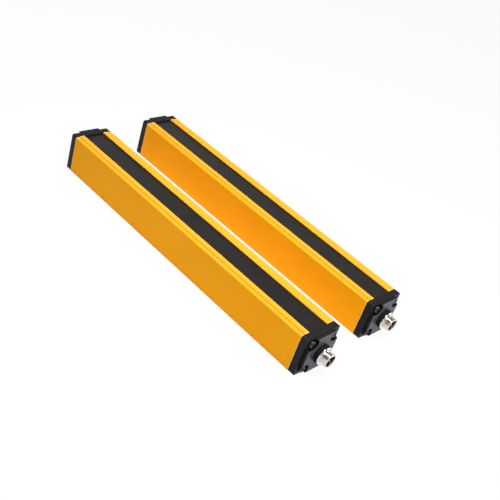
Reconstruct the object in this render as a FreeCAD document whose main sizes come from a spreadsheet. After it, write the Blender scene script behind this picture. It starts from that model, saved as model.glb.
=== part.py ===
import FreeCAD, Part
import os
import re
import Sketcher

# A safety light curtain: an emitter bar and a receiver bar, each lying on its back with its
# window up.  +X runs along the bars towards the connectors, +Y from the emitter to the receiver.
# In a bar's own frame x = 0 is the profile's blind end, y = 0 its middle and z = 0 its underside.

SIZES = [
    # name, millimetres (or a plain count), what it is
    ("bar_spacing", 82.0, "between the middles of the two bars"),
    ("bar_stagger", 2.5, "how far the receiver lies back along X"),
    ("bar_width", 38.0, "profile, outside"),
    ("bar_height", 35.0, "profile, outside"),
    ("profile_length", 281.6, "cut length of the extrusion"),
    ("wall", 2.0, "profile side wall and floor"),
    ("bottom_round", 1.5, "outer corners at the back"),
    ("top_round", 1.1, "outer corners of the lips"),
    ("lip_round", 0.5, "inner edge of the lips"),
    ("lip_width", 8.85, "lip, from the side to its inner edge"),
    ("lip_thickness", 1.3, "lip above the window"),
    ("lip_step", 0.4, "outer band of the lip lies lower"),
    ("lip_band", 3.4, "width of that outer band"),
    ("score_width", 0.5, "fine groove between the bands"),
    ("score_depth", 0.3, "fine groove between the bands"),
    ("window_thickness", 2.0, "front window strip"),
    ("window_seat", 1.1, "how far the window's groove reaches under a lip"),
    ("window_gap", 0.1, "clearance over and beside the window"),
    ("seal_width", 0.8, "bead beside the lip, on the window"),
    ("seal_height", 0.6, "bead beside the lip, on the window"),
    ("port_side", 6.6, "screw ports, in from the sides"),
    ("port_low", 5.0, "lower screw ports, up from the underside"),
    ("port_top", 5.4, "upper screw ports, down from the top"),
    ("port_radius", 1.5, "screw port bore"),
    ("port_wall", 1.4, "metal around a screw port"),
    ("boss_round", 1.1, "corners of that metal"),
    ("relief_height", 4.2, "channel between upper port and side wall"),
    ("slot_mouth", 6.4, "T-slot in the back, opening"),
    ("slot_lip", 1.8, "T-slot, metal beside the opening"),
    ("slot_chamber", 11.2, "T-slot, inside width"),
    ("slot_depth", 6.2, "T-slot, whole depth"),
    ("slot_wall", 1.6, "T-slot, metal around the chamber"),
    ("board_height", 11.0, "underside of the long board"),
    ("board_thickness", 1.6, "all circuit boards"),
    ("board_side_gap", 0.3, "long board to the side wall"),
    ("board_top_gap", 0.2, "long board in its grooves"),
    ("board_end_gap", 3.0, "long board back from the profile's ends"),
    ("rib", 1.6, "thickness of the ribs that make the board's grooves"),
    ("rib_reach", 1.4, "how far those ribs stand out"),
    ("cap_flange", 6.0, "end cap flange"),
    ("cap_pad", 3.2, "raised pad on the flange"),
    ("cap_inset", 0.15, "cap outline inside the profile's"),
    ("cap_round", 1.5, "cap corners"),
    ("pad_side", 2.65, "pad edge in from the profile's side"),
    ("pad_top", 0.5, "pad edge down from the top"),
    ("pad_bottom", 1.1, "pad edge up from the underside"),
    ("pad_bevel", 0.5, "bevel round the pad's face"),
    ("notch_radius", 5.2, "notch in the pad round each screw"),
    ("spigot_gap", 0.3, "plug of the cap, beside the screw ports"),
    ("spigot_rise", 0.5, "plug of the cap, over the T-slot"),
    ("spigot_drop", 1.0, "plug of the cap, under the window"),
    ("spigot_wall", 1.4, "plug of the cap, wall"),
    ("spigot_length", 2.5, "plug of the cap, into the profile"),
    ("core_depth", 5.2, "hollow behind the cap's face"),
    ("gasket_thickness", 0.6, "flat seal between cap and profile"),
    ("gasket_inset", 0.9, "seal outline inside the profile's"),
    ("gasket_gap", 0.1, "seal in its recess"),
    ("screw_hole", 1.9, "screw clearance hole, radius"),
    ("screw_head", 3.2, "screw head, radius"),
    ("screw_head_height", 2.4, "screw head"),
    ("screw_bevel", 0.6, "bevel of the screw head"),
    ("screw_shank", 1.45, "screw shank, radius"),
    ("screw_reach", 12.0, "screw length in the profile"),
    ("socket_across", 2.5, "hexagon socket, across flats"),
    ("socket_depth", 1.3, "hexagon socket"),
    ("connector_height", 18.0, "connector axis above the underside"),
    ("thread_radius", 6.0, "M12 thread, outside"),
    ("thread_length", 5.55, "M12 thread in front of the flange"),
    ("thread_bevel", 0.4, "lead-in of the thread"),
    ("shell_bore", 4.9, "socket of the connector, radius"),
    ("shell_neck", 5.9, "connector where it passes the cap, radius"),
    ("shell_tail", 7.5, "connector behind the pad's face"),
    ("flange_radius", 8.0, "connector flange"),
    ("flange_thickness", 1.2, "connector flange"),
    ("collar_radius", 8.15, "sealing collar"),
    ("collar_thickness", 3.8, "sealing collar"),
    ("neck_gap", 0.1, "round the connector's neck"),
    ("nut_across", 14.0, "lock nut, across flats"),
    ("nut_thickness", 2.5, "lock nut"),
    ("nut_bore_gap", 0.05, "lock nut on the connector's neck"),
    ("nut_gap", 0.1, "round the lock nut's corners"),
    ("nut_recess", 0.3, "seat of the lock nut, deeper than the hollow"),
    ("insert_gap", 0.05, "insert in the shell"),
    ("insert_depth", 7.2, "insert face behind the connector's mouth"),
    ("insert_tail", 10.2, "insert behind the pad's face"),
    ("key_width", 1.4, "coding key in the connector"),
    ("key_height", 1.2, "coding key in the connector"),
    ("key_gap", 0.15, "coding key in the connector's bore"),
    ("pin_radius", 0.5, "contacts"),
    ("pin_circle", 2.75, "circle of the contacts, radius"),
    ("pin_count", 4, "contacts on the circle"),
    ("pin_setback", 1.2, "contact tips behind the connector's mouth"),
    ("pin_tail", 0.8, "contacts past the terminal board"),
    ("pin_gap", 0.05, "contacts in the terminal board's holes"),
    ("terminal_offset", 3.0, "terminal board behind the profile's end"),
    ("terminal_gap", 1.0, "terminal board beside the screw ports"),
    ("terminal_drop", 3.4, "terminal board under the window"),
    ("header_width", 12.7, "header between the boards"),
    ("header_depth", 2.5, "header between the boards"),
    ("header_height", 1.0, "header between the boards"),
    ("beam_pitch", 20.0, "between beams"),
    ("end_space", 30.0, "least room from a profile's end to the first beam"),
    ("carrier_margin", 9.0, "lens carrier past the outer beams"),
    ("carrier_gap", 0.2, "lens carrier beside the screw ports"),
    ("tunnel_low", 2.6, "beam tunnel, half its side at the board"),
    ("tunnel_high", 6.4, "beam tunnel, half its side at the lens"),
    ("lens_plate", 1.5, "lens strip"),
    ("lens_half", 6.2, "each lens, half its side"),
    ("lens_rise", 1.8, "each lens above its strip"),
    ("lens_gap", 0.7, "lenses under the window"),
    ("diode_side", 3.0, "diode package"),
    ("diode_height", 1.9, "diode package"),
    ("chip_side", 9.0, "controller chip"),
    ("chip_height", 1.4, "controller chip"),
    ("driver_width", 4.0, "driver chips"),
    ("driver_length", 5.0, "driver chips"),
    ("driver_gap", 2.0, "driver chips beside the controller chip"),
    ("chip_start", 7.0, "controller chip from the profile's blind end"),
    ("capacitor_gap", 1.25, "capacitors past the driver chips"),
    ("capacitor_radius", 2.5, "capacitors"),
    ("capacitor_height", 6.5, "capacitors"),
    ("capacitor_across", 7.6, "capacitors, from the middle"),
    ("indicator_pitch", 5.0, "status lights"),
    ("indicator_side", 1.8, "status lights"),
    ("indicator_height", 0.8, "status lights"),
    ("indicator_back", 14.0, "status lights from the profile's connector end"),
    ("pipe_side", 2.6, "light pipe columns"),
    ("pipe_gap", 0.3, "light pipe over the lights and under the window"),
    ("pipe_bridge", 2.0, "light pipe, bar that joins the columns"),
    ("pipe_drop", 5.0, "that bar below the column tops"),
]

doc = FreeCAD.newDocument("safety_light_curtain")
sheet = doc.addObject("Spreadsheet::Sheet", "sizes")
for row, (alias, number, note) in enumerate(SIZES, start=1):
    sheet.set("A%d" % row, alias)
    sheet.set("B%d" % row, str(number))
    sheet.set("C%d" % row, note)
    sheet.setAlias("B%d" % row, alias)
doc.recompute()
NAMES = {alias for alias, number, note in SIZES}

# Places that several pieces share, worked out from the sizes.
HALF = "(bar_width / 2)"
INNER = "(bar_width / 2 - wall)"
OPENING = "(bar_width / 2 - lip_width)"
WINDOW_TOP = "(bar_height - lip_thickness - window_gap)"
LEDGE = "(bar_height - lip_thickness - window_gap - window_thickness)"
PORT_ACROSS = "(bar_width / 2 - port_side)"
PORT_HIGH = "(bar_height - port_top)"
PORT_IN = "(%s - port_radius - port_wall)" % PORT_ACROSS
PORT_OUT = "(%s + port_radius + port_wall)" % PORT_ACROSS
BOARD_TOP = "(board_height + board_thickness)"
CAP_BACK = "(cap_flange + cap_pad)"
NUT_SEAT = "(core_depth + nut_recess)"
SPIGOT_HALF = "(%s - spigot_gap)" % PORT_IN
SPIGOT_LOW = "(slot_depth + slot_wall + spigot_rise)"
SPIGOT_HIGH = "(%s - spigot_drop)" % LEDGE
MOUTH = "(collar_thickness + flange_thickness + thread_length)"
CARRIER_HALF = "(%s - carrier_gap)" % PORT_IN
CARRIER_TOP = "(%s - lens_gap - lens_rise - lens_plate)" % LEDGE
BEAM_GAPS = "floor((profile_length - 2 * end_space) / beam_pitch)"
BEAM_SPAN = "(%s * beam_pitch)" % BEAM_GAPS
FIRST_BEAM = "((profile_length - %s) / 2)" % BEAM_SPAN
TERMINAL_FACE = "(profile_length - terminal_offset)"
BAR_START = "(-(profile_length + %s - bar_stagger) / 2)" % MOUTH


def bound(text):
    """An expression in size names, written for the sheet's cells."""
    return re.sub(r"[a-z_]+", lambda m: "sizes." + m.group() if m.group() in NAMES else m.group(), text)


def value(text):
    return float(sheet.evalExpression(bound(text)))


def bind(thing, prop, text):
    thing.setExpression(prop, bound(text))


def new_body(bar, name, along="0", up="0"):
    body = doc.addObject("PartDesign::Body", bar["name"] + "_" + name)
    body.Label = bar["name"] + "_" + name
    body.AllowCompound = True
    bind(body, "Placement.Base.x", "%s + %s + %s" % (BAR_START, bar["along"], along))
    bind(body, "Placement.Base.y", bar["across"])
    bind(body, "Placement.Base.z", up)
    return body


def plane(body, role):
    """One of the planes or axes of the body's own origin."""
    return [feature for feature in body.Origin.OriginFeatures if feature.Role == role][0]


def sketch_on(body, name, role, offset="0"):
    """A sketch on one of the body's own planes, moved along the plane's normal."""
    sketch = body.newObject("Sketcher::SketchObject", name)
    sketch.AttachmentSupport = [(plane(body, role), "")]
    sketch.MapMode = "FlatFace"
    bind(sketch, "AttachmentOffset.Base.z", offset)
    return sketch


def place_point(sketch, geometry, point, spot):
    """Ties one point of the sketch to the sizes."""
    for kind, text in zip(("DistanceX", "DistanceY"), spot):
        number = sketch.addConstraint(Sketcher.Constraint(kind, -1, 1, geometry, point, value(text)))
        bind(sketch, "Constraints[%d]" % number, text)


def outline(sketch, spots):
    """A closed outline of straight lines through spots, each a pair of size expressions."""
    first = sketch.GeometryCount
    corners = [FreeCAD.Vector(value(a), value(b), 0) for a, b in spots]
    count = len(corners)
    for index in range(count):
        sketch.addGeometry(Part.LineSegment(corners[index], corners[(index + 1) % count]), False)
    for index in range(count):
        sketch.addConstraint(
            Sketcher.Constraint("Coincident", first + index, 2, first + (index + 1) % count, 1))
    for index, spot in enumerate(spots):
        place_point(sketch, first + index, 1, spot)


def rectangle(sketch, low, high):
    outline(sketch, [low, (high[0], low[1]), high, (low[0], high[1])])


def circle(sketch, spot, radius):
    centre = FreeCAD.Vector(value(spot[0]), value(spot[1]), 0)
    number = sketch.addGeometry(Part.Circle(centre, FreeCAD.Vector(0, 0, 1), value(radius)), False)
    place_point(sketch, number, 3, spot)
    constraint = sketch.addConstraint(Sketcher.Constraint("Radius", number, value(radius)))
    bind(sketch, "Constraints[%d]" % constraint, radius)


def hexagon(sketch, spot, across):
    """A regular hexagon with two flats across the sketch's X direction."""
    corner = "(%s / sqrt(3))" % across
    half = "(%s / 2)" % across
    turns = [("0", "1"), ("-1", "0.5"), ("-1", "-0.5"), ("0", "-1"), ("1", "-0.5"), ("1", "0.5")]
    outline(sketch, [("%s + %s * %s" % (spot[0], a, half), "%s + %s * %s" % (spot[1], b, corner))
                     for a, b in turns])


def pad(body, sketch, name, length, back=False):
    feature = body.newObject("PartDesign::Pad", name)
    feature.Profile = sketch
    bind(feature, "Length", length)
    feature.Reversed = back
    doc.recompute()
    return feature


def pocket(body, sketch, name, length, ahead=False):
    """Cuts against the sketch's normal, or ahead along it, and checks that it cut."""
    before = body.Tip.Shape.Volume
    feature = body.newObject("PartDesign::Pocket", name)
    feature.Profile = sketch
    bind(feature, "Length", length)
    feature.Reversed = ahead
    doc.recompute()
    if not feature.Shape.Volume < before:
        raise ValueError("%s %s cuts nothing" % (body.Label, name))
    return feature


def edges_where(feature, test):
    return ["Edge%d" % (i + 1) for i, edge in enumerate(feature.Shape.Edges) if test(edge)]


def dress(body, kind, name, size, test):
    """A fillet or chamfer on the edges of the body's tip that pass the test."""
    base = body.Tip
    edges = edges_where(base, test)
    if not edges:
        raise ValueError("%s %s finds no edge" % (body.Label, name))
    feature = body.newObject("PartDesign::" + kind, name)
    feature.Base = (base, edges)
    bind(feature, "Radius" if kind == "Fillet" else "Size", size)
    doc.recompute()
    if "Invalid" in feature.State:
        raise ValueError("%s %s fails" % (body.Label, name))
    return feature


def near(a, b):
    return abs(a - b) < 1e-4


def runs_along(edge, spots):
    """True for an edge along X at one of the (y, z) spots, on either side of the middle."""
    ends = [vertex.Point for vertex in edge.Vertexes]
    if len(ends) != 2 or not near((ends[1] - ends[0]).Length, abs(ends[1].x - ends[0].x)):
        return False
    return any(near(abs(ends[0].y), y) and near(ends[0].z, z) for y, z in spots)


def spots_of(pairs):
    return [(value(a), value(b)) for a, b in pairs]


def pattern(body, feature, name):
    """Repeats a feature along X, once for each beam."""
    copies = body.newObject("PartDesign::LinearPattern", name)
    copies.Originals = [feature]
    copies.Direction = (plane(body, "X_Axis"), [""])
    bind(copies, "Length", BEAM_SPAN)
    bind(copies, "Occurrences", BEAM_GAPS + " + 1")
    body.Tip = copies
    doc.recompute()
    return copies


def mirror(body, feature, name):
    """Adds the other half, across the bar's middle plane."""
    copy = body.newObject("PartDesign::Mirrored", name)
    copy.Originals = [feature]
    copy.MirrorPlane = (plane(body, "XZ_Plane"), [""])
    body.Tip = copy
    doc.recompute()
    return copy


PORTS = [(side + PORT_ACROSS, height) for side in ("-", "") for height in ("port_low", PORT_HIGH)]


def build_profile(bar):
    body = new_body(bar, "profile")
    sketch = sketch_on(body, bar["name"] + "_profile_half", "YZ_Plane")
    band = "(%s - lip_band)" % HALF
    band_top = "(bar_height - lip_step)"
    groove = "(%s + window_seat)" % OPENING
    block_low = "(%s - port_radius - port_wall)" % PORT_HIGH
    boss_top = "(port_low + port_radius + port_wall)"
    groove_top = "(%s + board_top_gap)" % BOARD_TOP
    rib_edge = "(%s - rib_reach)" % INNER
    outline(sketch, [
        ("0", "slot_depth"), ("slot_chamber / 2", "slot_depth"), ("slot_chamber / 2", "slot_lip"),
        ("slot_mouth / 2", "slot_lip"), ("slot_mouth / 2", "0"), (HALF, "0"), (HALF, band_top),
        (band, band_top), (band, band_top + " - score_depth"),
        (band + " - score_width", band_top + " - score_depth"),
        (band + " - score_width", "bar_height"), (OPENING, "bar_height"),
        (OPENING, "bar_height - lip_thickness"), (groove, "bar_height - lip_thickness"),
        (groove, LEDGE), (PORT_IN, LEDGE), (PORT_IN, block_low), (PORT_OUT, block_low),
        (PORT_OUT, block_low + " + relief_height"), (INNER, block_low + " + relief_height"),
        (INNER, groove_top + " + rib"), (rib_edge, groove_top + " + rib"), (rib_edge, groove_top),
        (INNER, groove_top), (INNER, "board_height"), (rib_edge, "board_height"),
        (rib_edge, "board_height - rib"), (INNER, "board_height - rib"), (INNER, "wall"),
        (PORT_OUT, "wall"), (PORT_OUT, boss_top), (PORT_IN, boss_top), (PORT_IN, "wall"),
        ("slot_chamber / 2 + slot_wall", "wall"),
        ("slot_chamber / 2 + slot_wall", "slot_depth + slot_wall"), ("0", "slot_depth + slot_wall")])
    half = pad(body, sketch, bar["name"] + "_profile_run", "profile_length")
    mirror(body, half, bar["name"] + "_profile_both")
    ports = sketch_on(body, bar["name"] + "_profile_ports", "YZ_Plane")
    for spot in PORTS:
        circle(ports, spot, "port_radius")
    pocket(body, ports, bar["name"] + "_profile_bores", "profile_length", ahead=True)
    dress(body, "Fillet", bar["name"] + "_profile_back", "bottom_round",
          lambda edge: runs_along(edge, spots_of([(HALF, "0")])))
    dress(body, "Fillet", bar["name"] + "_profile_top", "top_round",
          lambda edge: runs_along(edge, spots_of([(HALF, band_top)])))
    dress(body, "Fillet", bar["name"] + "_profile_lips", "lip_round",
          lambda edge: runs_along(edge, spots_of([(OPENING, "bar_height")])))
    dress(body, "Fillet", bar["name"] + "_profile_bosses", "boss_round",
          lambda edge: runs_along(edge, spots_of([(PORT_IN, block_low), (PORT_OUT, block_low),
                                                  (PORT_IN, boss_top), (PORT_OUT, boss_top)])))


def build_window(bar):
    body = new_body(bar, "front_window")
    sketch = sketch_on(body, bar["name"] + "_window_section", "YZ_Plane")
    edge = "(%s + window_seat - window_gap)" % OPENING
    rectangle(sketch, ("-" + edge, LEDGE), (edge, WINDOW_TOP))
    pad(body, sketch, bar["name"] + "_window_run", "profile_length")

    seals = new_body(bar, "window_seals")
    sketch = sketch_on(seals, bar["name"] + "_seal_section", "YZ_Plane")
    for side in ("-", ""):
        outline(sketch, [(side + OPENING, WINDOW_TOP), (side + "(%s - seal_width)" % OPENING, WINDOW_TOP),
                         (side + OPENING, WINDOW_TOP + " + seal_height")])
    pad(seals, sketch, bar["name"] + "_seal_run", "profile_length")


def build_cap(bar, end):
    """An end cap, drawn outwards along +X; the blind one is the same moulding turned round."""
    connector = end == "connector_end"
    body = new_body(bar, end + "_cap")
    tag = bar["name"] + "_" + end + "_cap_"
    out = 1 if connector else -1
    start = "profile_length" if connector else "0"

    def at(depth):
        return "%s + %d * (%s)" % (start, out, depth)

    edge = "(%s - cap_inset)" % HALF
    sketch = sketch_on(body, tag + "outline", "YZ_Plane", at("0"))
    rectangle(sketch, ("-" + edge, "cap_inset"), (edge, "bar_height - cap_inset"))
    pad(body, sketch, tag + "flange", "cap_flange", back=not connector)
    dress(body, "Fillet", tag + "corners", "cap_round",
          lambda e: runs_along(e, spots_of([(edge, "cap_inset"), (edge, "bar_height - cap_inset")])))

    pad_edge = "(%s - pad_side)" % HALF
    sketch = sketch_on(body, tag + "pad_outline", "YZ_Plane", at("cap_flange"))
    rectangle(sketch, ("-" + pad_edge, "pad_bottom"), (pad_edge, "bar_height - pad_top"))
    pad(body, sketch, tag + "pad", "cap_pad", back=not connector)
    for index, (across, height) in enumerate(PORTS):
        sketch = sketch_on(body, tag + "notch_%d" % index, "YZ_Plane", at("cap_flange"))
        circle(sketch, (across, height), "notch_radius")
        pocket(body, sketch, tag + "notch_cut_%d" % index, "cap_pad", ahead=connector)
        sketch = sketch_on(body, tag + "corner_%d" % index, "YZ_Plane", at("cap_flange"))
        side = "-" if across.startswith("-") else ""
        far = "0" if height == "port_low" else "bar_height"
        rectangle(sketch, (across, far), (side + HALF, height))
        pocket(body, sketch, tag + "corner_cut_%d" % index, "cap_pad", ahead=connector)
    face = value(at(CAP_BACK))
    dress(body, "Chamfer", tag + "bevel", "pad_bevel",
          lambda e: all(near(v.Point.x, face) for v in e.Vertexes))

    plug_low, plug_high = ("-" + SPIGOT_HALF, SPIGOT_LOW), (SPIGOT_HALF, SPIGOT_HIGH)
    sketch = sketch_on(body, tag + "plug_outline", "YZ_Plane", at("0"))
    rectangle(sketch, plug_low, plug_high)
    pad(body, sketch, tag + "plug", "spigot_length", back=connector)
    sketch = sketch_on(body, tag + "core_outline", "YZ_Plane", at("-spigot_length"))
    rectangle(sketch, ("-(%s - spigot_wall)" % SPIGOT_HALF, SPIGOT_LOW + " + spigot_wall"),
              (SPIGOT_HALF + " - spigot_wall", SPIGOT_HIGH + " - spigot_wall"))
    pocket(body, sketch, tag + "core", "spigot_length + core_depth", ahead=connector)
    sketch = sketch_on(body, tag + "seat_outline", "YZ_Plane", at("0"))
    seat = "(%s - gasket_inset + gasket_gap)" % HALF
    rectangle(sketch, ("-" + seat, "gasket_inset - gasket_gap"),
              (seat, "bar_height - gasket_inset + gasket_gap"))
    rectangle(sketch, plug_low, plug_high)
    pocket(body, sketch, tag + "seat", "gasket_thickness", ahead=connector)
    sketch = sketch_on(body, tag + "holes_outline", "YZ_Plane", at("0"))
    for spot in PORTS:
        circle(sketch, spot, "screw_hole")
    pocket(body, sketch, tag + "holes", "cap_flange", ahead=connector)
    if connector:
        sketch = sketch_on(body, tag + "bore_outline", "YZ_Plane", at("0"))
        circle(sketch, ("0", "connector_height"), "shell_neck + neck_gap")
        pocket(body, sketch, tag + "bore", CAP_BACK, ahead=True)
        sketch = sketch_on(body, tag + "nut_seat_outline", "YZ_Plane", at("0"))
        circle(sketch, ("0", "connector_height"), "nut_across / sqrt(3) + nut_gap")
        pocket(body, sketch, tag + "nut_seat", NUT_SEAT, ahead=True)


def build_gasket(bar, end):
    connector = end == "connector_end"
    body = new_body(bar, end + "_gasket")
    tag = bar["name"] + "_" + end + "_gasket_"
    start = "profile_length" if connector else "0"
    sketch = sketch_on(body, tag + "outline", "YZ_Plane", start)
    edge = "(%s - gasket_inset)" % HALF
    rectangle(sketch, ("-" + edge, "gasket_inset"), (edge, "bar_height - gasket_inset"))
    rectangle(sketch, ("-(%s + gasket_gap)" % SPIGOT_HALF, SPIGOT_LOW + " - gasket_gap"),
              (SPIGOT_HALF + " + gasket_gap", SPIGOT_HIGH + " + gasket_gap"))
    for spot in PORTS:
        circle(sketch, spot, "screw_hole")
    pad(body, sketch, tag + "sheet", "gasket_thickness", back=not connector)


def build_screws(bar, end):
    """Four pan-head screws with hexagon sockets, threads left plain."""
    connector = end == "connector_end"
    body = new_body(bar, end + "_screws")
    tag = bar["name"] + "_" + end + "_screws_"
    seat = "profile_length + cap_flange" if connector else "-cap_flange"
    top = seat + (" + " if connector else " - ") + "screw_head_height"
    sketch = sketch_on(body, tag + "heads_outline", "YZ_Plane", seat)
    for spot in PORTS:
        circle(sketch, spot, "screw_head")
    pad(body, sketch, tag + "heads", "screw_head_height", back=not connector)
    face = value(top)
    dress(body, "Chamfer", tag + "bevel", "screw_bevel",
          lambda e: all(near(v.Point.x, face) for v in e.Vertexes))
    sketch = sketch_on(body, tag + "shanks_outline", "YZ_Plane", seat)
    for spot in PORTS:
        circle(sketch, spot, "screw_shank")
    pad(body, sketch, tag + "shanks", "cap_flange + screw_reach", back=connector)
    sketch = sketch_on(body, tag + "sockets_outline", "YZ_Plane", top)
    for spot in PORTS:
        hexagon(sketch, spot, "socket_across")
    pocket(body, sketch, tag + "sockets", "socket_depth", ahead=not connector)


def turned(bar, name, along, section, up="connector_height"):
    """A turned piece: section is a list of (x, radius) round the piece's own axis."""
    body = new_body(bar, name, along, up)
    sketch = sketch_on(body, bar["name"] + "_" + name + "_section", "XZ_Plane")
    outline(sketch, section)
    feature = body.newObject("PartDesign::Revolution", bar["name"] + "_" + name + "_turning")
    feature.Profile = sketch
    feature.ReferenceAxis = (sketch, ["H_Axis"])
    doc.recompute()
    return body


def build_connector(bar):
    face = "profile_length + " + CAP_BACK
    seat = "collar_thickness"
    flange = "(collar_thickness + flange_thickness)"
    turned(bar, "connector_collar", face, [
        ("0", "shell_neck + neck_gap"), (seat, "shell_neck + neck_gap"),
        (seat, "collar_radius - screw_bevel"), (seat + " - screw_bevel", "collar_radius"),
        ("0", "collar_radius")])
    turned(bar, "connector_shell", face, [
        ("-shell_tail", "shell_bore"), (MOUTH, "shell_bore"), (MOUTH, "thread_radius - thread_bevel"),
        (MOUTH + " - thread_bevel", "thread_radius"), (flange, "thread_radius"),
        (flange, "flange_radius - thread_bevel"), (flange + " - thread_bevel", "flange_radius"),
        (seat, "flange_radius"), (seat, "shell_neck"), ("-shell_tail", "shell_neck")])
    insert = turned(bar, "connector_insert", face, [
        ("-insert_tail", "0"), (MOUTH + " - insert_depth", "0"),
        (MOUTH + " - insert_depth", "shell_bore - insert_gap"),
        ("-insert_tail", "shell_bore - insert_gap")])
    sketch = sketch_on(insert, bar["name"] + "_insert_key_outline", "YZ_Plane", MOUTH + " - insert_depth")
    rectangle(sketch, ("-key_width / 2", "shell_bore - insert_gap - key_height"),
              ("key_width / 2", "shell_bore - key_gap"))
    pad(insert, sketch, bar["name"] + "_insert_key", "insert_depth - pin_setback")
    holes = sketch_on(insert, bar["name"] + "_insert_holes_outline", "YZ_Plane", "-insert_tail")
    for spot in pin_spots():
        circle(holes, spot, "pin_radius")
    pocket(insert, holes, bar["name"] + "_insert_holes", "insert_tail + %s" % MOUTH, ahead=True)

    pins = new_body(bar, "connector_pins", face, "connector_height")
    back = "-(%s + terminal_offset + board_thickness + pin_tail)" % CAP_BACK
    sketch = sketch_on(pins, bar["name"] + "_pins_outline", "YZ_Plane", back)
    for spot in pin_spots():
        circle(sketch, spot, "pin_radius")
    pad(pins, sketch, bar["name"] + "_pins_run", "%s - pin_setback - %s" % (MOUTH, back))

    nut = new_body(bar, "connector_nut", "profile_length + " + NUT_SEAT, "connector_height")
    sketch = sketch_on(nut, bar["name"] + "_nut_outline", "YZ_Plane")
    hexagon(sketch, ("0", "0"), "nut_across")
    circle(sketch, ("0", "0"), "shell_neck + nut_bore_gap")
    pad(nut, sketch, bar["name"] + "_nut_plate", "nut_thickness", back=True)


def pin_spots():
    """One contact in the middle and the rest evenly on their circle."""
    count = int(value("pin_count"))
    spots = [("0", "0")]
    for index in range(count):
        turn = "(360 deg * %g / pin_count)" % (index + 0.5)
        spots.append(("pin_circle * sin%s" % turn, "pin_circle * cos%s" % turn))
    return spots


def build_boards(bar):
    board = new_body(bar, "optics_board")
    sketch = sketch_on(board, bar["name"] + "_optics_outline", "XY_Plane", "board_height")
    edge = "(%s - board_side_gap)" % INNER
    rectangle(sketch, ("board_end_gap", "-" + edge), ("profile_length - board_end_gap", edge))
    pad(board, sketch, bar["name"] + "_optics_sheet", "board_thickness")

    terminal = new_body(bar, "terminal_board")
    sketch = sketch_on(terminal, bar["name"] + "_terminal_outline", "YZ_Plane", TERMINAL_FACE)
    edge = "(%s - terminal_gap)" % PORT_IN
    rectangle(sketch, ("-" + edge, BOARD_TOP), (edge, LEDGE + " - terminal_drop"))
    for across, up in pin_spots():
        circle(sketch, (across, "connector_height + " + up), "pin_radius + pin_gap")
    pad(terminal, sketch, bar["name"] + "_terminal_sheet", "board_thickness", back=True)

    header = new_body(bar, "board_header")
    back = "(%s - board_thickness)" % TERMINAL_FACE
    sketch = sketch_on(header, bar["name"] + "_header_outline", "XY_Plane", BOARD_TOP)
    rectangle(sketch, (back + " - header_depth", "-header_width / 2"), (back, "header_width / 2"))
    pad(header, sketch, bar["name"] + "_header_block", "header_height")


def lens_section(sketch, start, finish, base):
    """A flat base from start to finish under one arc, lens_rise high."""
    radius = "((lens_half ^ 2 + lens_rise ^ 2) / (2 * lens_rise))"
    left = FreeCAD.Vector(value(start), value(base), 0)
    right = FreeCAD.Vector(value(finish), value(base), 0)
    top = (left + right) / 2 + FreeCAD.Vector(0, value("lens_rise"), 0)
    flat = sketch.addGeometry(Part.LineSegment(left, right), False)
    arc = sketch.addGeometry(Part.Arc(right, top, left), False)
    sketch.addConstraint(Sketcher.Constraint("Coincident", flat, 2, arc, 1))
    sketch.addConstraint(Sketcher.Constraint("Coincident", flat, 1, arc, 2))
    place_point(sketch, flat, 1, (start, base))
    place_point(sketch, flat, 2, (finish, base))
    number = sketch.addConstraint(Sketcher.Constraint("Radius", arc, value(radius)))
    bind(sketch, "Constraints[%d]" % number, radius)


def build_optics(bar):
    carrier = new_body(bar, "lens_carrier")
    start = "(%s - carrier_margin)" % FIRST_BEAM
    finish = "(profile_length - %s)" % start
    sketch = sketch_on(carrier, bar["name"] + "_carrier_outline", "XY_Plane", BOARD_TOP)
    rectangle(sketch, (start, "-" + CARRIER_HALF), (finish, CARRIER_HALF))
    pad(carrier, sketch, bar["name"] + "_carrier_block", "%s - %s" % (CARRIER_TOP, BOARD_TOP))
    tunnel = carrier.newObject("PartDesign::SubtractiveWedge", bar["name"] + "_tunnel")
    tunnel.Placement.Rotation = FreeCAD.Rotation(FreeCAD.Vector(1, 0, 0), 90)
    bind(tunnel, "Placement.Base.x", FIRST_BEAM)
    bind(tunnel, "Placement.Base.z", BOARD_TOP)
    tunnel.Ymin = 0
    bind(tunnel, "Ymax", "%s - %s" % (CARRIER_TOP, BOARD_TOP))
    for end, half in (("", "tunnel_low"), ("2", "tunnel_high")):
        for axis in ("X", "Z"):
            bind(tunnel, axis + end + "min", "-" + half)
            bind(tunnel, axis + end + "max", half)
    doc.recompute()
    pattern(carrier, tunnel, bar["name"] + "_carrier_tunnels")

    strip = new_body(bar, "lens_strip")
    sketch = sketch_on(strip, bar["name"] + "_strip_outline", "XY_Plane", CARRIER_TOP)
    rectangle(sketch, (start, "-" + CARRIER_HALF), (finish, CARRIER_HALF))
    pad(strip, sketch, bar["name"] + "_strip_sheet", "lens_plate")
    sketch = sketch_on(strip, bar["name"] + "_lens_outline", "XZ_Plane", "-lens_half")
    lens_section(sketch, FIRST_BEAM + " - lens_half", FIRST_BEAM + " + lens_half",
                 CARRIER_TOP + " + lens_plate")
    lens = pad(strip, sketch, bar["name"] + "_strip_lens", "2 * lens_half")
    pattern(strip, lens, bar["name"] + "_strip_lenses")

    diodes = new_body(bar, "diodes")
    sketch = sketch_on(diodes, bar["name"] + "_diode_outline", "XY_Plane", BOARD_TOP)
    rectangle(sketch, (FIRST_BEAM + " - diode_side / 2", "-diode_side / 2"),
              (FIRST_BEAM + " + diode_side / 2", "diode_side / 2"))
    package = pad(diodes, sketch, bar["name"] + "_diode", "diode_height")
    pattern(diodes, package, bar["name"] + "_diode_copies")


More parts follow.
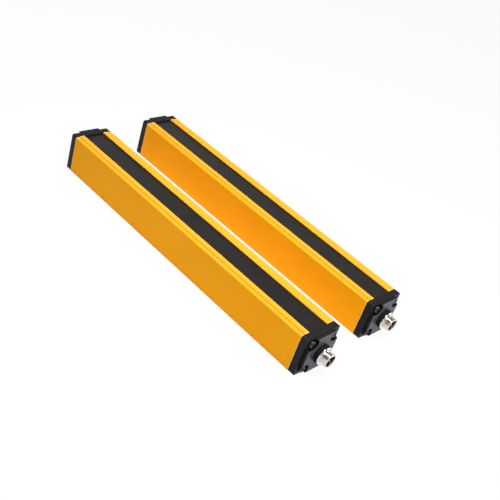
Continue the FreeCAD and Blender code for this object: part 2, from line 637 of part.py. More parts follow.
def build_electronics(bar):
    chips = new_body(bar, "control_chips")
    sketch = sketch_on(chips, bar["name"] + "_chips_outline", "XY_Plane", BOARD_TOP)
    rectangle(sketch, ("chip_start", "-chip_side / 2"), ("chip_start + chip_side", "chip_side / 2"))
    for side in ("-", ""):
        near_edge = side + "(chip_side / 2 + driver_gap)"
        far_edge = side + "(chip_side / 2 + driver_gap + driver_width)"
        rectangle(sketch, ("chip_start", near_edge), ("chip_start + driver_length", far_edge))
    pad(chips, sketch, bar["name"] + "_chips_blocks", "chip_height")

    caps = new_body(bar, "capacitors")
    sketch = sketch_on(caps, bar["name"] + "_capacitors_outline", "XY_Plane", BOARD_TOP)
    for side in ("-", ""):
        circle(sketch, ("chip_start + driver_length + capacitor_gap + capacitor_radius",
                        side + "capacitor_across"), "capacitor_radius")
    pad(caps, sketch, bar["name"] + "_capacitors_cans", "capacitor_height")

    middle = "(profile_length - indicator_back)"
    lights = new_body(bar, "indicator_leds")
    sketch = sketch_on(lights, bar["name"] + "_lights_outline", "XY_Plane", BOARD_TOP)
    for step in ("-1", "0", "1"):
        centre = "%s * indicator_pitch" % step
        rectangle(sketch, (middle + " - indicator_side / 2", centre + " - indicator_side / 2"),
                  (middle + " + indicator_side / 2", centre + " + indicator_side / 2"))
    pad(lights, sketch, bar["name"] + "_lights_blocks", "indicator_height")

    # Three columns, clear of the lights below and the window above, joined by a bar between them.
    pipe = new_body(bar, "light_pipe")
    sketch = sketch_on(pipe, bar["name"] + "_pipe_outline", "YZ_Plane", middle + " - pipe_side / 2")
    top = "(%s - pipe_gap)" % LEDGE
    bar_top = "(%s - pipe_drop)" % top
    bar_low = "(%s - pipe_bridge)" % bar_top
    foot = "(%s + indicator_height + pipe_gap)" % BOARD_TOP
    left = "%s * indicator_pitch - pipe_side / 2"
    right = "%s * indicator_pitch + pipe_side / 2"
    upper = []
    lower = []
    for step in ("-1", "0", "1"):
        upper += [(left % step, bar_top), (left % step, top), (right % step, top), (right % step, bar_top)]
        lower += [(left % step, bar_low), (left % step, foot), (right % step, foot), (right % step, bar_low)]
    outline(sketch, upper[1:-1] + lower[1:-1][::-1])
    pad(pipe, sketch, bar["name"] + "_pipe_comb", "pipe_side")


def build_bar(bar):
    build_profile(bar)
    build_window(bar)
    for end in ("blind_end", "connector_end"):
        build_cap(bar, end)
        build_gasket(bar, end)
        build_screws(bar, end)
    build_connector(bar)
    build_boards(bar)
    build_optics(bar)
    build_electronics(bar)


def check_and_export():
    doc.recompute()
    for thing in doc.Objects:
        if "Invalid" in thing.State or "Error" in thing.State:
            raise ValueError("%s failed: %s" % (thing.Label, thing.State))
    os.makedirs("parts", exist_ok=True)
    for body in [thing for thing in doc.Objects if thing.TypeId == "PartDesign::Body"]:
        if body.Shape.isNull() or not body.Shape.isValid():
            raise ValueError("%s has no valid shape" % body.Label)
        body.Shape.exportStep(os.path.join("parts", body.Label + ".step"))
        print("%-34s %2d solid(s) %10.2f mm3" % (body.Label, len(body.Shape.Solids), body.Shape.Volume))


build_bar({"name": "emitter", "along": "0", "across": "-bar_spacing / 2"})
build_bar({"name": "receiver", "along": "-bar_stagger", "across": "bar_spacing / 2"})
check_and_export()
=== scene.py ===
import math
import bpy
from mathutils import Matrix, Vector


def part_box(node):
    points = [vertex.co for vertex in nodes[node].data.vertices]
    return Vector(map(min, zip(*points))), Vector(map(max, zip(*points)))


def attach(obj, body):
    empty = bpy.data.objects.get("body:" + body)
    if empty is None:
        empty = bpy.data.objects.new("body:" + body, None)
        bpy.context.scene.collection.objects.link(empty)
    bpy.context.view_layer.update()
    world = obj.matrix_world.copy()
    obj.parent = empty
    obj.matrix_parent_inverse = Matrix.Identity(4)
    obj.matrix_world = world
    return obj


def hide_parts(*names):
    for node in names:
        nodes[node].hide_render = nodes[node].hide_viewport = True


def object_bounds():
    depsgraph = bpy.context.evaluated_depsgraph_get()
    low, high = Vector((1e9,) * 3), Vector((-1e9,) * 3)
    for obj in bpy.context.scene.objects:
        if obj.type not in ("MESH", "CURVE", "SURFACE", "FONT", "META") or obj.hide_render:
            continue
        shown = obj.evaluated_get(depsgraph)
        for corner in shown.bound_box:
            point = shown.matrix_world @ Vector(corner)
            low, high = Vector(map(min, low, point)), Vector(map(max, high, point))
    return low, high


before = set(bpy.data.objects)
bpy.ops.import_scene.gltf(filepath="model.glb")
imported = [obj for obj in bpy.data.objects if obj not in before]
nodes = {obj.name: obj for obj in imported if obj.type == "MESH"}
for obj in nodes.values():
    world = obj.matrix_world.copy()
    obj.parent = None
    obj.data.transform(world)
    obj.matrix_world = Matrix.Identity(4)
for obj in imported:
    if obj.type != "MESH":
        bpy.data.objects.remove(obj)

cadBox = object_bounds()
mm = 0.001
bars = ("emitter", "receiver")
ends = ("blind_end", "connector_end")


# Small helpers for working in object and edit mode.
def workOn(piece):
    bpy.ops.object.select_all(action="DESELECT")
    piece.select_set(True)
    bpy.context.view_layer.objects.active = piece


def pickFaces(piece, test):
    # leaves the piece in edit mode with only the faces that pass the test selected
    workOn(piece)
    bpy.ops.object.mode_set(mode="EDIT")
    bpy.ops.mesh.select_mode(type="FACE")
    bpy.ops.mesh.select_all(action="DESELECT")
    bpy.ops.object.mode_set(mode="OBJECT")
    for face in piece.data.polygons:
        face.select = test(face)
    bpy.ops.object.mode_set(mode="EDIT")


def applyModifier(piece, kind, **settings):
    workOn(piece)
    modifier = piece.modifiers.new(kind.lower(), kind)
    for name, value in settings.items():
        setattr(modifier, name, value)
    bpy.ops.object.modifier_apply(modifier=modifier.name)


def boolean(piece, tool, operation):
    # cuts, adds or keeps the tool's shape, then throws the tool away
    applyModifier(piece, "BOOLEAN", operation=operation, object=tool, solver="EXACT")
    bpy.data.objects.remove(tool)


def smoothBelow(piece, angle):
    # smooth shading over every edge that turns by less than the angle, in degrees
    workOn(piece)
    bpy.ops.object.shade_smooth_by_angle(angle=math.radians(angle))


def softenEdges(piece, width, segments, angle, smoothAngle=50, evenness=80):
    # rounds the edges sharper than the angle, then lets the broad faces keep their flat shading
    applyModifier(piece, "BEVEL", width=width, segments=segments, limit_method="ANGLE",
                  angle_limit=math.radians(angle))
    smoothBelow(piece, smoothAngle)
    applyModifier(piece, "WEIGHTED_NORMAL", mode="FACE_AREA", weight=evenness, keep_sharp=True)


def cleanMesh(piece, distance=0.002 * mm):
    workOn(piece)
    bpy.ops.object.mode_set(mode="EDIT")
    bpy.ops.mesh.select_all(action="SELECT")
    bpy.ops.mesh.remove_doubles(threshold=distance)
    bpy.ops.mesh.normals_make_consistent(inside=False)
    bpy.ops.object.mode_set(mode="OBJECT")


def turnPiece(name, rings, sides, throughHole=False):
    # rings are (radius, height) pairs: a filled circle, then one extrusion for each further ring
    bpy.ops.object.select_all(action="DESELECT")
    firstRadius, firstHeight = rings[0]
    bpy.ops.mesh.primitive_circle_add(vertices=sides, radius=firstRadius, fill_type="NGON",
                                      location=(0, 0, firstHeight))
    piece = bpy.context.object
    piece.name = name
    bpy.ops.object.transform_apply(location=True, rotation=True, scale=True)
    bpy.ops.object.mode_set(mode="EDIT")
    bpy.ops.mesh.select_mode(type="FACE")
    bpy.ops.mesh.select_all(action="SELECT")
    for (oldRadius, oldHeight), (radius, height) in zip(rings, rings[1:]):
        rise = (0, 0, height - oldHeight)
        bpy.ops.mesh.extrude_region_move(TRANSFORM_OT_translate={"value": rise})
        grow = radius / oldRadius
        bpy.ops.transform.resize(value=(grow, grow, 1), center_override=(0, 0, height))
    bpy.ops.object.mode_set(mode="OBJECT")
    if throughHole:
        # the first and last faces go, and the wall of the hole joins their rims
        pickFaces(piece, lambda face: len(face.vertices) == sides)
        bpy.ops.mesh.delete(type="ONLY_FACE")
        bpy.ops.mesh.select_mode(type="EDGE")
        bpy.ops.mesh.select_all(action="DESELECT")
        bpy.ops.mesh.select_non_manifold()
        bpy.ops.mesh.bridge_edge_loops()
        bpy.ops.object.mode_set(mode="OBJECT")
    cleanMesh(piece)
    return piece


def setAlongX(piece, spot, outwards=1):
    # lays a piece that was built up along Z down along +X or -X, at its spot
    workOn(piece)
    piece.rotation_euler = (0, outwards * math.pi / 2, 0)
    piece.location = spot
    bpy.ops.object.transform_apply(location=True, rotation=True, scale=True)


def copyOf(piece, name):
    twin = piece.copy()
    twin.data = piece.data.copy()
    twin.name = name
    bpy.context.scene.collection.objects.link(twin)
    return twin


def finishPiece(piece, finish, replaced):
    piece.data.materials.clear()
    piece.data.materials.append(finish)
    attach(piece, "root")
    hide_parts(replaced)


# Finishes, each made of shader nodes on the piece's own coordinates.
def newFinish(name, sockets):
    finish = bpy.data.materials.new(name)
    finish.use_nodes = True
    shader = finish.node_tree.nodes["Principled BSDF"]
    for socket, value in sockets.items():
        shader.inputs[socket].default_value = value
    return finish, shader


def addNode(finish, kind, inputs=None, **settings):
    node = finish.node_tree.nodes.new(kind)
    for name, value in settings.items():
        setattr(node, name, value)
    for socket, value in (inputs or {}).items():
        if isinstance(value, bpy.types.NodeSocket):
            finish.node_tree.links.new(value, node.inputs[socket])
        else:
            node.inputs[socket].default_value = value
    return node


def stretched(finish, scale):
    # the piece's own coordinates in metres, times a scale for each direction
    place = addNode(finish, "ShaderNodeTexCoord").outputs["Object"]
    return addNode(finish, "ShaderNodeMapping", {"Vector": place, "Scale": scale}).outputs[0]


def noise(finish, scale, detail=2.0, along=(1, 1, 1)):
    return addNode(finish, "ShaderNodeTexNoise",
                   {"Vector": stretched(finish, along), "Scale": scale, "Detail": detail}).outputs["Fac"]


def remap(finish, value, low, high, fromLow=0.3, fromHigh=0.7):
    # the range it comes from is by default the one that most of a noise lies in
    return addNode(finish, "ShaderNodeMapRange",
                   {"Value": value, "From Min": fromLow, "From Max": fromHigh,
                    "To Min": low, "To Max": high}).outputs[0]


def combine(finish, operation, first, second=0.0):
    return addNode(finish, "ShaderNodeMath", {0: first, 1: second}, operation=operation).outputs[0]


def blend(finish, amount, first, second):
    # sockets 6 and 7 of a mix node are its two colours
    node = addNode(finish, "ShaderNodeMix", {0: amount, 6: first, 7: second}, data_type="RGBA")
    return node.outputs[2]


def link(finish, output, shader, socket):
    finish.node_tree.links.new(output, shader.inputs[socket])


def roughen(finish, shader, height, depth, strength):
    bump = addNode(finish, "ShaderNodeBump",
                   {"Height": height, "Distance": depth, "Strength": strength})
    link(finish, bump.outputs[0], shader, "Normal")


def clouded(finish, cloud, tones):
    # two tones in soft clouds, whose size and detail are given
    return blend(finish, remap(finish, noise(finish, *cloud), 0.0, 1.0), *tones)


def fromMiddle(finish, bar):
    # how far along the bar a point lies from the middle of its profile
    low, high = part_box(bar + "_profile")
    place = addNode(finish, "ShaderNodeTexCoord").outputs["Object"]
    along = addNode(finish, "ShaderNodeSeparateXYZ", {0: place}).outputs[0]
    return combine(finish, "ABSOLUTE", combine(finish, "SUBTRACT", along, (low.x + high.x) / 2))


# In every look, cloud is the scale and detail of the tones' noise, and wear is the scale of the
# noise that the roughness follows between its two values.
# The pale top tint is painted light: a sheen on the upward faces. The pale colour at the sawn ends is a
# painted edge highlight.
coat = {"tones": ((0.90, 0.380, 0.003, 1), (0.87, 0.358, 0.002, 1)), "cloud": (14.0, 3.0),
        "paintedSheenTint": (0.80, 0.350, 0.022, 1), "sheenFrom": 0.6, "sheenWhole": 0.95,
        "paintedEdgeGlint": (0.86, 0.66, 0.30, 1), "glintWidth": 0.35 * mm, "glintWhole": 0.21 * mm,
        "roughness": (0.38, 0.48), "wear": 300.0, "specular": 0.05,
        "peel": (900.0, 1.0), "drawLines": (1500.0, 1.0, (0.01, 1, 1)), "drawShare": 0.35,
        "reliefDepth": 0.02 * mm, "reliefStrength": 0.5}


def yellowCoat(bar):
    # satin coat with a paler, less saturated tint painted on the upward faces as a sheen of light from
    # above, and a pale edge highlight painted at the two sawn ends
    finish, shader = newFinish(bar + "YellowCoat", {"Specular IOR Level": coat["specular"]})
    tone = clouded(finish, coat["cloud"], coat["tones"])
    normal = addNode(finish, "ShaderNodeNewGeometry").outputs["Normal"]
    upwards = addNode(finish, "ShaderNodeSeparateXYZ", {0: normal}).outputs[2]
    # upward faces blend into a paler tint, a painted sheen of the light from above
    top = remap(finish, upwards, 0.0, 1.0, coat["sheenFrom"], coat["sheenWhole"])
    tone = blend(finish, top, tone, coat["paintedSheenTint"])
    # a pale line painted along the last fraction of a millimetre at each sawn end, as the highlight of
    # that edge
    low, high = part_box(bar + "_profile")
    half = (high.x - low.x) / 2
    glintMask = remap(finish, fromMiddle(finish, bar), 0.0, 1.0, half - coat["glintWidth"],
                half - coat["glintWhole"])
    link(finish, blend(finish, glintMask, tone, coat["paintedEdgeGlint"]), shader, "Base Color")
    drawn = combine(finish, "MULTIPLY", noise(finish, *coat["drawLines"]), coat["drawShare"])
    relief = combine(finish, "ADD", noise(finish, *coat["peel"]), drawn)
    roughen(finish, shader, relief, coat["reliefDepth"], coat["reliefStrength"])
    link(finish, remap(finish, noise(finish, coat["wear"]), *coat["roughness"]), shader, "Roughness")
    return finish


# The face tone is painted light: a paler grey on the caps' outer faces, standing in for the light they
# catch, on the same black plastic.
moulding = {"sides": ((0.005, 0.005, 0.006, 1), (0.008, 0.0075, 0.008, 1)), "cloud": (90.0, 3.0),
            "face": (0.068, 0.066, 0.084, 1), "faceDepth": 0.45 * mm, "faceFade": 0.1 * mm,
            "roughness": (0.44, 0.54), "wear": 400.0, "facePolish": 0.14, "specular": 0.18,
            "relief": (2600.0, 3.0), "reliefDepth": 0.02 * mm, "reliefStrength": 0.5}


def capMouldingPaintedLight(bar):
    # black sides, with each cap's outer face painted a paler grey for the light it catches, and smoother
    finish, shader = newFinish(bar + "CapMouldingPaintedLight", {"Specular IOR Level": moulding["specular"]})
    sides = clouded(finish, moulding["cloud"], moulding["sides"])
    low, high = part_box(bar + "_blind_end_cap")[0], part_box(bar + "_connector_end_cap")[1]
    start = (high.x - low.x) / 2 - moulding["faceDepth"]
    # the outer zone of each cap takes the paler grey, painted light on its face
    outer = remap(finish, fromMiddle(finish, bar), 0.0, 1.0, start, start + moulding["faceFade"])
    link(finish, blend(finish, outer, sides, moulding["face"]), shader, "Base Color")
    grain = remap(finish, noise(finish, moulding["wear"]), *moulding["roughness"])
    polished = combine(finish, "MULTIPLY", outer, moulding["facePolish"])
    link(finish, combine(finish, "SUBTRACT", grain, polished), shader, "Roughness")
    roughen(finish, shader, noise(finish, *moulding["relief"]), moulding["reliefDepth"],
            moulding["reliefStrength"])
    return finish


# The finishes that are alike in kind: relief is a noise, its depth and its strength.
looks = {
    "windowPlastic": {"sockets": {"Specular IOR Level": 0.3}, "cloud": (60.0, 3.0),
                      "tones": ((0.010, 0.008, 0.008, 1), (0.013, 0.011, 0.010, 1)),
                      "roughness": (0.26, 0.34), "wear": 500.0,
                      "relief": ((350.0, 2.0, (0.1, 1, 1)), 0.004 * mm, 0.4)},
    "softRubber": {"sockets": {"Specular IOR Level": 0.15}, "cloud": (200.0, 3.0),
                   "tones": ((0.003, 0.003, 0.003, 1), (0.006, 0.006, 0.006, 1)),
                   "roughness": (0.6, 0.75), "wear": 900.0,
                   "relief": ((2500.0, 2.0, (1, 1, 1)), 0.01 * mm, 0.5)},
    "blackOxide": {"sockets": {"Specular IOR Level": 0.6}, "cloud": (700.0, 3.0),
                   "tones": ((0.003, 0.003, 0.004, 1), (0.006, 0.006, 0.007, 1)),
                   "roughness": (0.14, 0.22), "wear": 1500.0},
    "nickelPlate": {"sockets": {"Metallic": 1.0}, "cloud": (300.0, 3.0),
                    "tones": ((0.72, 0.70, 0.66, 1), (0.80, 0.78, 0.75, 1)),
                    "roughness": (0.1, 0.2), "wear": 900.0,
                    "relief": ((3000.0, 2.0, (1, 0.1, 0.1)), 0.004 * mm, 0.4)},
    "goldPlate": {"sockets": {"Metallic": 1.0}, "cloud": (1200.0, 2.0),
                  "tones": ((0.50, 0.44, 0.34, 1), (0.58, 0.52, 0.42, 1)),
                  "roughness": (0.18, 0.3), "wear": 2500.0},
    "blackMoulding": {"sockets": {}, "cloud": (400.0, 2.0),
                      "tones": ((0.008, 0.008, 0.009, 1), (0.014, 0.014, 0.015, 1)),
                      "roughness": (0.4, 0.5), "wear": 1200.0},
    "clearAcrylic": {"sockets": {"Transmission Weight": 0.9, "IOR": 1.49}, "cloud": (200.0, 2.0),
                     "tones": ((0.90, 0.93, 0.95, 1), (0.95, 0.97, 0.98, 1)),
                     "roughness": (0.04, 0.1), "wear": 700.0},
    "bareCan": {"sockets": {"Metallic": 1.0}, "cloud": (500.0, 2.0),
                "tones": ((0.62, 0.62, 0.64, 1), (0.72, 0.72, 0.74, 1)),
                "roughness": (0.3, 0.42), "wear": 900.0}}


def plainFinish(name):
    look = looks[name]
    finish, shader = newFinish(name, look["sockets"])
    link(finish, clouded(finish, look["cloud"], look["tones"]), shader, "Base Color")
    link(finish, remap(finish, noise(finish, look["wear"]), *look["roughness"]), shader, "Roughness")
    if "relief" in look:
        grain, depth, strength = look["relief"]
        roughen(finish, shader, noise(finish, *grain), depth, strength)
    return finish


board = {"roughness": (0.28, 0.4), "wear": 500.0, "scale": 120.0, "trackWidth": 0.06,
         "mask": ((0.010, 0.100, 0.035, 1), (0.012, 0.115, 0.040, 1)),
         "track": (0.020, 0.190, 0.060, 1)}


def greenBoard():
    finish, shader = newFinish("greenBoard", {})
    tracks = addNode(finish, "ShaderNodeTexBrick",
                     {"Vector": stretched(finish, (1, 1, 1)), "Scale": board["scale"],
                      "Mortar Size": board["trackWidth"], "Color1": board["mask"][0],
                      "Color2": board["mask"][1], "Mortar": board["track"]})
    link(finish, tracks.outputs[0], shader, "Base Color")
    link(finish, remap(finish, noise(finish, board["wear"]), *board["roughness"]), shader, "Roughness")
    return finish


finishes = {name: plainFinish(name) for name in looks}
finishes["greenBoard"] = greenBoard()
coats = {bar: yellowCoat(bar) for bar in bars}
capFinishes = {bar: capMouldingPaintedLight(bar) for bar in bars}
print("finishes")

cap = {"mergeWithin": 0.005 * mm, "flatWithin": 1,
       "edges": {"width": 0.22 * mm, "segments": 3, "angle": 32}}


def buildCaps():
    # the frame's own shape, merged, with every sharp edge given its moulded round
    for bar in bars:
        for end in ends:
            node = "%s_%s_cap" % (bar, end)
            piece = copyOf(nodes[node], node + "_moulded")
            piece.parent = None
            for key in list(piece.keys()):
                del piece[key]
            workOn(piece)
            bpy.ops.object.mode_set(mode="EDIT")
            bpy.ops.mesh.select_all(action="SELECT")
            bpy.ops.mesh.remove_doubles(threshold=cap["mergeWithin"])
            bpy.ops.mesh.dissolve_limited(angle_limit=math.radians(cap["flatWithin"]))
            bpy.ops.object.mode_set(mode="OBJECT")
            softenEdges(piece, **cap["edges"])
            finishPiece(piece, capFinishes[bar], node)


buildCaps()
print("end caps")

# Pan heads with hexagon sockets: one is modelled and the rest are copied. The dome starts at a
# share of the head's height and draws in by a share of its radius, in steps of a few degrees.
screw = {"headRadius": 3.2 * mm, "headHeight": 2.4 * mm, "seatShare": 0.985, "seatEdge": 0.08 * mm,
         "domeFrom": 0.42, "domeIn": 0.552, "domeSteps": 7, "domeStep": 12,
         "shankRadius": 1.45 * mm, "tipShare": 0.7, "tipLength": 0.5 * mm,
         "socketAcross": 2.5 * mm, "socketDepth": 1.3 * mm, "sides": 48,
         "edges": {"width": 0.08 * mm, "segments": 2, "angle": 35}}


def modelScrew(shankLength):
    head, height, shank = screw["headRadius"], screw["headHeight"], screw["shankRadius"]
    rim = height * screw["domeFrom"]
    rings = [(shank * screw["tipShare"], -shankLength), (shank, screw["tipLength"] - shankLength),
             (shank, 0), (head * screw["seatShare"], 0), (head, screw["seatEdge"]), (head, rim)]
    turns = [math.radians(screw["domeStep"] * step) for step in range(1, screw["domeSteps"] + 1)]
    for turn in turns:
        rise = (height - rim) * math.sin(turn) / math.sin(turns[-1])
        rings.append((head * (1 - screw["domeIn"] * (1 - math.cos(turn))), rim + rise))
    piece = turnPiece("screwPattern", rings, screw["sides"])
    bpy.ops.object.select_all(action="DESELECT")
    bpy.ops.mesh.primitive_cylinder_add(vertices=6, radius=screw["socketAcross"] / math.sqrt(3),
                                        depth=screw["socketDepth"] * 2, location=(0, 0, height))
    boolean(piece, bpy.context.object, "DIFFERENCE")
    softenEdges(piece, **screw["edges"])
    return piece


def buildScrews():
    radius, height = screw["headRadius"], screw["headHeight"]
    low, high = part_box("emitter_connector_end_screws")
    pattern = modelScrew(high.x - low.x - height)
    for bar in bars:
        for end in ends:
            node = "%s_%s_screws" % (bar, end)
            low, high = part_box(node)
            outwards = 1 if end == "connector_end" else -1
            seat = high.x - height if outwards == 1 else low.x + height
            spots = [(y, z) for y in (low.y + radius, high.y - radius)
                     for z in (low.z + radius, high.z - radius)]
            for number, (y, z) in enumerate(spots, start=1):
                piece = copyOf(pattern, "%s_%d" % (node, number))
                setAlongX(piece, (seat, y, z), outwards)
                finishPiece(piece, finishes["blackOxide"], node)
    bpy.data.objects.remove(pattern)


buildScrews()
print("cap screws")

# The connector's heights run out from the cap's face. The ridge of the thread is made too deep
# and too tall, and its envelope cuts it to the crest, the root, the run-out and the lead-in.
thread = {"top": 6.0 * mm, "root": 5.42 * mm, "pitch": 1.0 * mm, "widthShare": 0.98,
          "overDepth": 0.25 * mm, "overTop": 0.08 * mm, "fromFlange": 0.5 * mm,
          "runOut": 0.35 * mm, "leadIn": 0.45 * mm, "leadRise": 0.05 * mm, "mouthGap": 0.02 * mm}
shell = {"bore": 4.9 * mm, "neck": 5.9 * mm, "flangeRadius": 8.0 * mm, "flangeThickness": 1.2 * mm,
         "flangeBevel": 0.35 * mm, "edge": 0.12 * mm, "rimIn": 0.08 * mm, "rimHeight": 0.1 * mm,
         "smoothAngle": 28, "sides": 72}


def modelThread(start, finish):
    # a three-sided section swept in a helix, kept only inside the thread's own envelope
    pitch, top, root = thread["pitch"], thread["top"], thread["root"]
    turns = math.ceil((finish - start) / pitch) + 2
    bpy.ops.object.select_all(action="DESELECT")
    bpy.ops.mesh.primitive_circle_add(vertices=3, radius=1.0 * mm, fill_type="NOTHING",
                                      rotation=(math.pi / 2, math.pi / 2, 0))
    ridge = bpy.context.object
    bpy.ops.object.transform_apply(location=True, rotation=True, scale=True)
    wide = max(v.co.z for v in ridge.data.vertices) * 2
    deep = max(v.co.x for v in ridge.data.vertices) - min(v.co.x for v in ridge.data.vertices)
    depth = top - root + thread["overDepth"]
    ridge.scale = (depth / deep, 1, pitch * thread["widthShare"] / wide)
    bpy.ops.object.transform_apply(location=True, rotation=True, scale=True)
    tip = max(v.co.x for v in ridge.data.vertices)
    ridge.location = (top + thread["overTop"] - tip, 0, start - pitch)
    bpy.ops.object.transform_apply(location=True, rotation=True, scale=True)
    applyModifier(ridge, "SCREW", axis="Z", angle=2 * math.pi, screw_offset=pitch,
                  iterations=turns, steps=shell["sides"], render_steps=shell["sides"],
                  use_merge_vertices=True)
    bpy.ops.object.mode_set(mode="EDIT")
    bpy.ops.mesh.select_all(action="SELECT")
    bpy.ops.mesh.fill_holes(sides=3)
    bpy.ops.object.mode_set(mode="OBJECT")
    cleanMesh(ridge)
    envelope = turnPiece("threadEnvelope", [
        (root, start), (top, start + thread["runOut"]), (top, finish - thread["leadIn"]),
        (root + thread["leadRise"], finish)], shell["sides"])
    boolean(ridge, envelope, "INTERSECT")
    return ridge


def modelShell(back, seat, mouth):
    bore, neck, flange = shell["bore"], shell["neck"], shell["flangeRadius"]
    edge, bevel, root = shell["edge"], shell["flangeBevel"], thread["root"]
    front = seat + shell["flangeThickness"]
    piece = turnPiece("shellPattern", [
        (bore, back), (neck, back), (neck, seat), (flange - edge, seat), (flange, seat + edge),
        (flange, front - bevel), (flange - bevel, front), (root, front),
        (root, mouth - shell["rimHeight"]), (root - shell["rimIn"], mouth), (bore + edge, mouth),
        (bore, mouth - edge)], shell["sides"], throughHole=True)
    boolean(piece, modelThread(front + thread["fromFlange"], mouth - thread["mouthGap"]), "UNION")
    smoothBelow(piece, shell["smoothAngle"])
    return piece


# The outline is how far in from the outer radius, at which share of the thickness: an undercut
# foot, the broad band and a groove round it.
collar = {"radius": 8.15 * mm, "boreGap": 0.1 * mm, "topBevel": 0.5 * mm, "smoothAngle": 40,
          "outline": ((1.05 * mm, 0.0), (1.05 * mm, 0.16), (0.1 * mm, 0.2), (0.0, 0.24), (0.0, 0.42),
                      (0.18 * mm, 0.48), (0.18 * mm, 0.6), (0.0, 0.66))}


def modelCollar(thickness):
    inner, outer, bevel = shell["neck"] + collar["boreGap"], collar["radius"], collar["topBevel"]
    rings = [(inner, 0)] + [(outer - inset, thickness * share) for inset, share in collar["outline"]]
    rings += [(outer, thickness - bevel), (outer - bevel, thickness), (inner, thickness)]
    piece = turnPiece("collarPattern", rings, shell["sides"], throughHole=True)
    smoothBelow(piece, collar["smoothAngle"])
    return piece


pin = {"radius": 0.5 * mm, "footShare": 0.8, "foot": 0.1 * mm, "tipTurns": (0, 18, 36, 54, 70, 82),
       "smoothAngle": 40, "sides": 24}


def modelPin(length):
    radius = pin["radius"]
    rings = [(radius * pin["footShare"], 0), (radius, pin["foot"])]
    for turn in map(math.radians, pin["tipTurns"]):
        rings.append((radius * math.cos(turn), length - radius + radius * math.sin(turn)))
    piece = turnPiece("pinPattern", rings, pin["sides"])
    smoothBelow(piece, pin["smoothAngle"])
    return piece


def buildConnectors():
    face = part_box("emitter_connector_end_cap")[1].x
    shellLow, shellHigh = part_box("emitter_connector_shell")
    pinLow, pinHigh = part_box("emitter_connector_pins")
    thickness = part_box("emitter_connector_collar")[1].x - face
    shellPattern = modelShell(shellLow.x - face, thickness, shellHigh.x - face)
    collarPattern = modelCollar(thickness)
    pinPattern = modelPin(pinHigh.x - pinLow.x)
    for bar in bars:
        low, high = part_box(bar + "_connector_shell")
        middleY, middleZ = (low.y + high.y) / 2, (low.z + high.z) / 2
        onFace = (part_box(bar + "_connector_end_cap")[1].x, middleY, middleZ)
        piece = copyOf(shellPattern, bar + "_connector_shell_threaded")
        setAlongX(piece, onFace)
        finishPiece(piece, finishes["nickelPlate"], bar + "_connector_shell")
        piece = copyOf(collarPattern, bar + "_connector_collar_grooved")
        setAlongX(piece, onFace)
        finishPiece(piece, finishes["softRubber"], bar + "_connector_collar")
        low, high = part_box(bar + "_connector_pins")
        offset = high.y - pin["radius"] - middleY
        spots = [(0, 0)] + [(a * offset, b * offset) for a in (-1, 1) for b in (-1, 1)]
        for number, (y, z) in enumerate(spots, start=1):
            piece = copyOf(pinPattern, "%s_connector_pin_%d" % (bar, number))
            setAlongX(piece, (low.x, middleY + y, middleZ + z))
            finishPiece(piece, finishes["goldPlate"], bar + "_connector_pins")
    for pattern in (shellPattern, collarPattern, pinPattern):
        bpy.data.objects.remove(pattern)


buildConnectors()
print("connectors")

# The frame's own nodes that stay in view, with their finishes.
stay = {"front_window": "windowPlastic", "window_seals": "softRubber",
        "blind_end_gasket": "softRubber", "connector_end_gasket": "softRubber",
        "connector_insert": "blackMoulding", "connector_nut": "nickelPlate",
        "optics_board": "greenBoard", "terminal_board": "greenBoard",
        "board_header": "blackMoulding", "lens_carrier": "blackMoulding",
        "lens_strip": "clearAcrylic", "diodes": "clearAcrylic", "control_chips": "blackMoulding",
        "capacitors": "bareCan", "indicator_leds": "clearAcrylic", "light_pipe": "clearAcrylic"}


def paintNode(name, finish):
    for place in nodes[name].material_slots:
        place.material = finish


for bar in bars:
    paintNode(bar + "_profile", coats[bar])
    for kind, finishName in stay.items():
        paintNode("%s_%s" % (bar, kind), finishes[finishName])
print("frame nodes painted")

# The floor and the sky are white to the camera and in gloss, and plainer as light on things. The
# sky fades with height, from fadeFrom to fadeTo, down to skyOverhead.
room = {"floorSize": 8.0, "floorGap": 0.05 * mm, "whiteShare": 0.94,
        "skyLight": 0.35, "skyOverhead": 0.25, "fadeFrom": 0.12, "fadeTo": 0.55}
paper = {"Base Color": (0.72, 0.72, 0.72, 1), "Roughness": 0.9, "Specular IOR Level": 0.1}


def directView(owner):
    # 1 for what the camera sees straight or in a mirror or glass, 0 for light that falls on things
    ray = addNode(owner, "ShaderNodeLightPath").outputs
    straight = combine(owner, "MAXIMUM", ray["Is Camera Ray"], ray["Is Glossy Ray"])
    return combine(owner, "MAXIMUM", straight, ray["Is Transmission Ray"])


def buildFloor():
    bpy.ops.object.select_all(action="DESELECT")
    bpy.ops.mesh.primitive_plane_add(size=room["floorSize"],
                                     location=(0, 0, cadBox[0][2] - room["floorGap"]))
    floor = bpy.context.object
    floor.name = "studioFloor"
    bpy.ops.object.transform_apply(location=True, rotation=True, scale=True)
    finish, shader = newFinish("whitePaper", paper)
    glow = addNode(finish, "ShaderNodeEmission")
    share = combine(finish, "MULTIPLY", directView(finish), room["whiteShare"])
    mix = addNode(finish, "ShaderNodeMixShader", {0: share, 1: shader.outputs[0], 2: glow.outputs[0]})
    link(finish, mix.outputs[0], finish.node_tree.nodes["Material Output"], "Surface")
    floor.data.materials.append(finish)


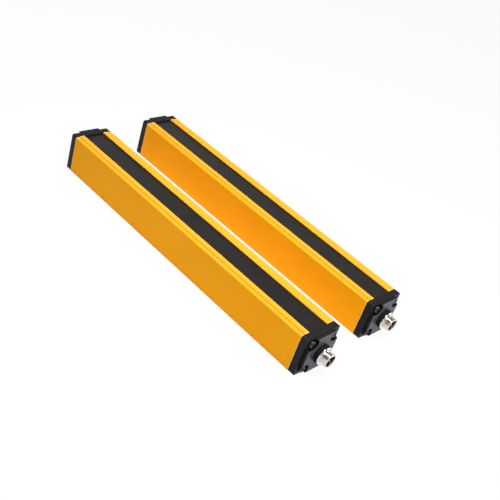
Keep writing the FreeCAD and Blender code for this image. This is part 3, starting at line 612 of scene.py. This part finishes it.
def buildSky():
    world = bpy.data.worlds.new("studioWorld")
    bpy.context.scene.world = world
    world.use_nodes = True
    place = addNode(world, "ShaderNodeTexCoord").outputs["Generated"]
    height = addNode(world, "ShaderNodeSeparateXYZ", {0: place}).outputs[2]
    fade = addNode(world, "ShaderNodeMapRange",
                   {"Value": height, "From Min": room["fadeFrom"], "From Max": room["fadeTo"],
                    "To Min": 1.0, "To Max": room["skyOverhead"]}, interpolation_type="SMOOTHSTEP")
    level = remap(world, directView(world), room["skyLight"], 1.0, 0.0, 1.0)
    background = world.node_tree.nodes["Background"]
    link(world, combine(world, "MULTIPLY", fade.outputs[0], level), background, "Strength")
    background.inputs["Color"].default_value = (1, 1, 1, 1)


lamps = {"keyLamp": {"spot": (0.25, -0.2, 0.9), "target": (0, 0, 0), "size": (0.6, 0.6),
                     "watts": 10.7},
         "betweenLamp": {"spot": (-0.03, -0.03, 0.34), "target": (-0.03, 0.03, 0.02),
                         "size": (0.36, 0.06), "watts": 0.66},
         "edgeLamp": {"spot": (0.6, 0.66, 0.46), "target": (0.1, 0, 0.02), "size": (0.3, 0.3),
                      "watts": 2.8}}


def addLamp(name, spot, target, size, watts):
    lamp = bpy.data.lights.new(name, "AREA")
    lamp.shape = "RECTANGLE"
    lamp.size, lamp.size_y = size
    lamp.energy = watts
    holder = bpy.data.objects.new(name, lamp)
    bpy.context.scene.collection.objects.link(holder)
    holder.location = spot
    holder.rotation_euler = (Vector(target) - Vector(spot)).to_track_quat("-Z", "Y").to_euler()


view = {"azimuth": 35.016, "elevation": 33.408, "roll": 19.141, "distance": 707.723 * mm,
        "target": (14.141 * mm, 19.793 * mm, 0.0), "lens": 58.419, "sensor": 36.0}


def addCamera():
    azimuth, elevation = math.radians(view["azimuth"]), math.radians(view["elevation"])
    back = Vector((math.sin(azimuth) * math.cos(elevation), -math.cos(azimuth) * math.cos(elevation),
                   math.sin(elevation)))
    lens = bpy.data.cameras.new("camera")
    lens.lens = view["lens"]
    lens.sensor_width = view["sensor"]
    camera = bpy.data.objects.new("camera", lens)
    bpy.context.scene.collection.objects.link(camera)
    upright = back.to_track_quat("Z", "Y").to_matrix().to_4x4()
    camera.matrix_world = (Matrix.Translation(Vector(view["target"]) + back * view["distance"])
                           @ upright @ Matrix.Rotation(math.radians(view["roll"]), 4, "Z"))
    bpy.context.scene.camera = camera


buildFloor()
buildSky()
for name, lamp in lamps.items():
    addLamp(name, **lamp)
addCamera()
bpy.context.scene.view_settings.view_transform = "Standard"
print("floor, light and camera")
